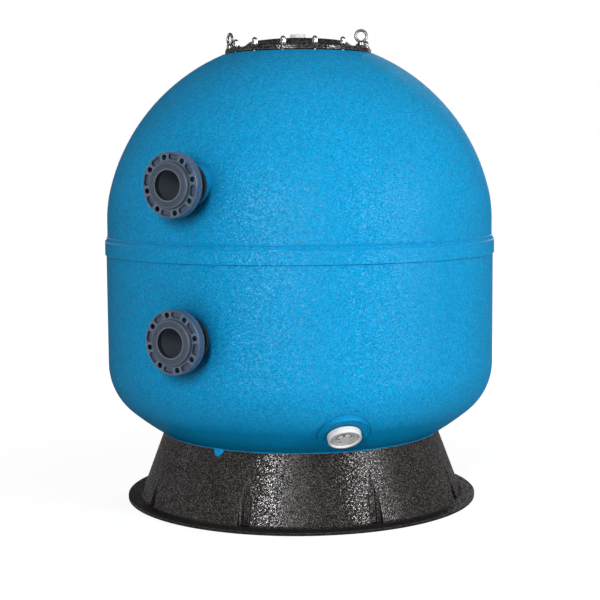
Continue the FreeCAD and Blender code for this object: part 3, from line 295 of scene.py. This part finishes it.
def steel():
    """Stainless steel with turned rings and finger marks, and a painted dark reflection on upward faces.
    """
    m = Recipe("stainless", Metallic=1.0, Roughness=0.2, Specular_Tint=(0.25, 0.25, 0.27))
    smears = m.span(m.noise(40.0, detail=4.0, rough=0.6), 0.3, 0.7)
    bright = m.mixed(smears, (0.34, 0.34, 0.35), (0.56, 0.56, 0.56))
    # Painted reflection: faces turned upwards go nearly black, standing in for a dark surround mirrored on
    # the tops of the nuts.
    m.set("Base Color", m.mixed(m.facing_up(-0.35, 0.20), bright, (0.065, 0.065, 0.070)))
    m.set("Roughness", m.span(m.noise(90.0, detail=3.0), 0.3, 0.7, to_low=0.12, to_high=0.3))
    rings = m.add("ShaderNodeTexWave", {"Scale": 320.0, "Distortion": 1.5, "Vector": m.place},
                  bands_direction="Z")
    m.set("Normal", m.bump(rings.outputs["Fac"], strength=0.08, distance=0.0002))
    return m.material


def rubber():
    """Dull black rubber with a fine grain."""
    m = Recipe("rubber_black", Roughness=0.7)
    tone = m.span(m.noise(90.0, detail=3.0), 0.3, 0.7)
    m.set("Base Color", m.mixed(tone, (0.012, 0.012, 0.013), (0.03, 0.03, 0.031)))
    m.set("Normal", m.bump(m.noise(500.0), strength=0.2, distance=0.0004))
    return m.material


smooth_blue = smooth_gelcoat()
# Dark grey of the port sleeves, which partly stand in for shade behind the rings.
neck_shade_grey = moulded("neck_shade_grey", (0.016, 0.024, 0.034), (0.010, 0.016, 0.024), 0.5,
                    Specular_IOR_Level=0.2)
BY_SLOT = {
    "gelcoat": gelcoat(),
    "skirt_black": speckled_black("base_black", gloss=0.42, cell_scale=420.0, spread=0.30,
                                  fleck=(0.20, 0.172, 0.160), top_sheen=0.10),
    "lid_black": speckled_black("lid_black", gloss=0.55, cell_scale=300.0, spread=0.30,
                                fleck=(0.16, 0.15, 0.15)),
    "rubber": rubber(),
    "steel": steel(),
    "vent_grey": moulded("vent_grey", (0.86, 0.86, 0.86), (0.78, 0.79, 0.80), 0.38),
    # The last colour of each port plastic is its painted bore tone: light in the pipe, shade in the
    # flange.
    "pipe_grey": port_plastic("pipe_grey", (0.020, 0.027, 0.036), (0.015, 0.021, 0.029),
                              (0.085, 0.10, 0.125)),
    "flange_grey": port_plastic("flange_grey", (0.068, 0.092, 0.138), (0.052, 0.072, 0.112),
                                (0.022, 0.029, 0.038)),
    # The ring's slate, with a painted highlight on its edges and painted shade in its recesses.
    "ring_slate": moulded("ring_slate", (0.045, 0.085, 0.160), (0.032, 0.064, 0.125), 0.26, edge_glint=0.25,
                          corner_shade=(0.006, 0.008, 0.013), reach=0.02, Specular_IOR_Level=0.5),
    "inner_plastic": moulded("inner_plastic", (0.76, 0.76, 0.72), (0.64, 0.64, 0.61), 0.5),
    # The drain cap's white, with painted shade in its notches and gaps.
    "drain_white": moulded("drain_white", (0.95, 0.95, 0.93), (0.90, 0.91, 0.89), 0.3, grain=0.08,
                           corner_shade=(0.05, 0.04, 0.035), reach=0.010),
}
for entry in frame["record"]["subparts"]:
    shown = nodes[entry["node"]]
    shown.data.materials.clear()
    shown.data.materials.append(BY_SLOT[entry["material_slot"]])
    for face in shown.data.polygons:
        face.material_index = 0


# Small surface pieces that the hand lay-up left, and dark sleeves behind the port rings that are partly
# painted shade

def new_piece(name, material, points, faces):
    """A smooth-shaded mesh that rides on the vessel."""
    mesh = bpy.data.meshes.new(name)
    mesh.from_pydata(points, [], faces)
    mesh.polygons.foreach_set("use_smooth", [True] * len(faces))
    mesh.materials.append(material)
    piece = bpy.data.objects.new(name, mesh)
    bpy.context.scene.collection.objects.link(piece)
    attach(piece, "vessel")


def closed_ring(steps, sides):
    """Quads of a ring of cross-sections, each with the same number of corners."""
    faces = []
    for step in range(steps):
        here, there = step * sides, (step + 1) % steps * sides
        for side in range(sides):
            beside = (side + 1) % sides
            faces.append((here + side, there + side, there + beside, here + beside))
    return faces


def ring_bead(name, radius, level, thick, waver, steps=360, sides=8):
    """A closed bead of gelcoat round the vessel, whose thickness wavers a little."""
    points = []
    for step in range(steps):
        turn = 2 * math.pi * step / steps
        ripple = math.sin(7 * turn) + math.sin(19 * turn + 1) + math.sin(43 * turn + 2)
        size = thick * (1 + waver * ripple / 3)
        for side in range(sides):
            lean = 2 * math.pi * side / sides
            out = radius + size * math.cos(lean)
            points.append((out * math.cos(turn), out * math.sin(turn), level + size * math.sin(lean)))
    new_piece(name, smooth_blue, points, closed_ring(steps, sides))


def gelcoat_run(name, bearing, wide, long, thick, rows=14, columns=14):
    """A drop of gelcoat that ran out over the skirt's top edge and set there."""
    buried = 0.002
    start_above = 0.3 * long
    turn = math.radians(bearing)
    outward = Vector((math.sin(turn), -math.cos(turn), 0.0))
    along = Vector((math.cos(turn), math.sin(turn), 0.0))
    down = (outward * SKIRT_SLOPE - Vector((0.0, 0.0, 1.0))).normalized()
    normal = down.cross(along).normalized()
    if normal.dot(outward) < 0:
        normal = -normal
    start = outward * SKIRT_TOP[0] + Vector((0.0, 0.0, SKIRT_TOP[1])) - down * start_above
    points = []
    for outer in (True, False):
        for row in range(rows + 1):
            part = row / rows
            half = 0.5 * wide * math.sqrt(max(0.0, 1 - part ** 1.7)) * (1 - 0.25 * part)
            swell = thick * math.sqrt(max(0.0, 1 - (2 * part - 1) ** 4)) * (0.55 + 0.45 * part)
            for column in range(columns + 1):
                across = 2 * column / columns - 1
                rise = swell * math.sqrt(max(0.0, 1 - across ** 2)) if outer else -buried
                points.append(start + down * (part * long) + along * (across * half) + normal * rise)
    faces = []
    layer = (rows + 1) * (columns + 1)
    for row in range(rows):
        for column in range(columns):
            corner = row * (columns + 1) + column
            quad = (corner, corner + 1, corner + columns + 2, corner + columns + 1)
            faces.append(quad)
            faces.append(tuple(layer + index for index in reversed(quad)))
    rim = list(range(columns + 1))
    rim += [row * (columns + 1) + columns for row in range(1, rows + 1)]
    rim += [rows * (columns + 1) + column for column in range(columns - 1, -1, -1)]
    rim += [row * (columns + 1) for row in range(rows - 1, 0, -1)]
    for corner, after in zip(rim, rim[1:] + rim[:1]):
        faces.append((corner, layer + corner, layer + after, after))
    new_piece(name, smooth_blue, points, faces)


def port_neck_shade(name, level, steps=96):
    """A dark sleeve round a port's boss, behind the loose ring: partly the dark plastic neck, partly a
    dark piece put where the ring's shadow falls on the boss.
    """
    inner, outer = 0.0555, 0.0713
    back, front = 0.7060, 0.7170
    chamfer_wide, chamfer_deep = 0.0013, 0.0012
    profile = ((inner, back), (inner, front), (outer - chamfer_wide, front),
               (outer, front - chamfer_deep), (outer, back))
    points = []
    for step in range(steps):
        turn = 2 * math.pi * step / steps
        for radius, forward in profile:
            points.append((radius * math.cos(turn), -forward, level + radius * math.sin(turn)))
    faces = [(first, *reversed(others)) for first, *others in closed_ring(steps, len(profile))]
    new_piece(name, neck_shade_grey, points, faces)


# Dark sleeves behind the port rings: partly the plastic neck, partly painted shade.
port_neck_shade("inlet_port_neck_shade", INLET_LEVEL)
port_neck_shade("outlet_port_neck_shade", OUTLET_LEVEL)
ring_bead("seam_bead_top", SHELL_RADIUS - 0.0006, LIP_LEVEL + 0.0005, thick=0.0032, waver=0.12)
ring_bead("seam_bead_middle", BAND_RADIUS - 0.0026, BAND_LEVEL - 0.0004, thick=0.0032, waver=0.12)
ring_bead("seam_bead_foot", BAND_RADIUS - 0.0010, SEAM_LEVEL + 0.0010, thick=0.0014, waver=0.3)
ring_bead("skirt_bead", 0.5072, 0.2490, thick=0.0024, waver=0.35)
gelcoat_run("gelcoat_run", bearing=-3.5, wide=0.052, long=0.038, thick=0.010)


# Light, floor and camera

LIGHT_AIM = Vector((0.0, 0.0, 0.9))


def strip_light(name, bearing, away, height, width, tall, power):
    """A tall soft box that stands round the object, its bearing counted from the front towards +X."""
    data = bpy.data.lights.new(name, "AREA")
    data.shape = "RECTANGLE"
    data.size = width
    data.size_y = tall
    data.energy = power
    lamp = bpy.data.objects.new(name, data)
    bpy.context.scene.collection.objects.link(lamp)
    turn = math.radians(bearing)
    lamp.location = (away * math.sin(turn), -away * math.cos(turn), height)
    lamp.rotation_euler = (LIGHT_AIM - lamp.location).to_track_quat("-Z", "Y").to_euler()


strip_light("right_box", bearing=85.0, away=5.2, height=1.9, width=0.28, tall=2.4, power=146)
strip_light("front_box", bearing=18.5, away=5.6, height=2.1, width=0.45, tall=2.2, power=190)
strip_light("left_box", bearing=-60.0, away=5.2, height=2.2, width=1.6, tall=2.4, power=7)
strip_light("back_box", bearing=195.0, away=5.0, height=2.4, width=2.0, tall=2.4, power=80)
strip_light("top_box", bearing=20.0, away=0.6, height=5.2, width=2.4, tall=2.4, power=8)


def seen_directly(tree):
    """One where a ray comes from the camera, a reflection or glass, and nothing where it only lights."""
    path = tree.nodes.new("ShaderNodeLightPath")
    seen = path.outputs["Is Camera Ray"]
    for name in ("Is Glossy Ray", "Is Transmission Ray"):
        either = tree.nodes.new("ShaderNodeMath")
        either.operation = "MAXIMUM"
        plug(tree, seen, either.inputs[0])
        plug(tree, path.outputs[name], either.inputs[1])
        seen = either.outputs[0]
    return seen


def ranged(tree, value, **limits):
    """A value brought from one span to another, by the names of the Map Range node's sockets."""
    made = tree.nodes.new("ShaderNodeMapRange")
    for name, limit in limits.items():
        made.inputs[name.replace("_", " ")].default_value = limit
    plug(tree, value, made.inputs["Value"])
    return made.outputs["Result"]


def white_surroundings():
    """A soft grey light all round, which looks white to the camera and in reflections."""
    world = bpy.data.worlds.new("studio")
    bpy.context.scene.world = world
    world.use_nodes = True
    tree = world.node_tree
    back = tree.nodes["Background"]
    back.inputs["Color"].default_value = (1, 1, 1, 1)
    level = ranged(tree, seen_directly(tree), To_Min=0.07, To_Max=1.0)
    plug(tree, level, back.inputs["Strength"])


def pale_floor():
    """A floor whose own glow, seen directly, fades to the white of the surroundings far away."""
    just_below = (0, 0, -0.0005)
    bpy.ops.mesh.primitive_circle_add(vertices=96, radius=40.0, fill_type="NGON", location=just_below)
    floor = bpy.context.object
    floor.name = "floor"
    made = bpy.data.materials.new("pale_floor")
    made.use_nodes = True
    tree = made.node_tree
    shader = tree.nodes["Principled BSDF"]
    shader.inputs["Base Color"].default_value = (0.26, 0.26, 0.26, 1)
    shader.inputs["Roughness"].default_value = 0.8
    shader.inputs["Specular IOR Level"].default_value = 0.0
    shader.inputs["Emission Color"].default_value = (1, 1, 1, 1)
    place = tree.nodes.new("ShaderNodeTexCoord")
    distance = tree.nodes.new("ShaderNodeVectorMath")
    distance.operation = "LENGTH"
    plug(tree, place.outputs["Object"], distance.inputs[0])
    glow = ranged(tree, distance.outputs["Value"], From_Min=1.0, From_Max=4.0, To_Min=0.88, To_Max=1.0)
    level = tree.nodes.new("ShaderNodeMath")
    level.operation = "MULTIPLY"
    plug(tree, seen_directly(tree), level.inputs[0])
    plug(tree, glow, level.inputs[1])
    plug(tree, level.outputs[0], shader.inputs["Emission Strength"])
    floor.data.materials.append(made)


white_surroundings()
pale_floor()
bpy.context.scene.view_settings.view_transform = "Standard"

CAMERA_BEARING = math.radians(30.4)
CAMERA_AWAY = 5.138
CAMERA_HEIGHT = 1.2177
CAMERA_TILT = 0.097
CAMERA_ROLL = math.radians(-0.43)
camera_data = bpy.data.cameras.new("photo_view")
camera_data.lens = 83.84
camera_data.sensor_width = 36.0
camera = bpy.data.objects.new("photo_view", camera_data)
bpy.context.scene.collection.objects.link(camera)
camera.location = (CAMERA_AWAY * math.sin(CAMERA_BEARING), -CAMERA_AWAY * math.cos(CAMERA_BEARING),
                   CAMERA_HEIGHT)
level_view = Euler((math.pi / 2 - CAMERA_TILT, 0.0, CAMERA_BEARING)).to_matrix()
camera.rotation_euler = (level_view @ Matrix.Rotation(CAMERA_ROLL, 3, "Z")).to_euler()
bpy.context.scene.camera = camera
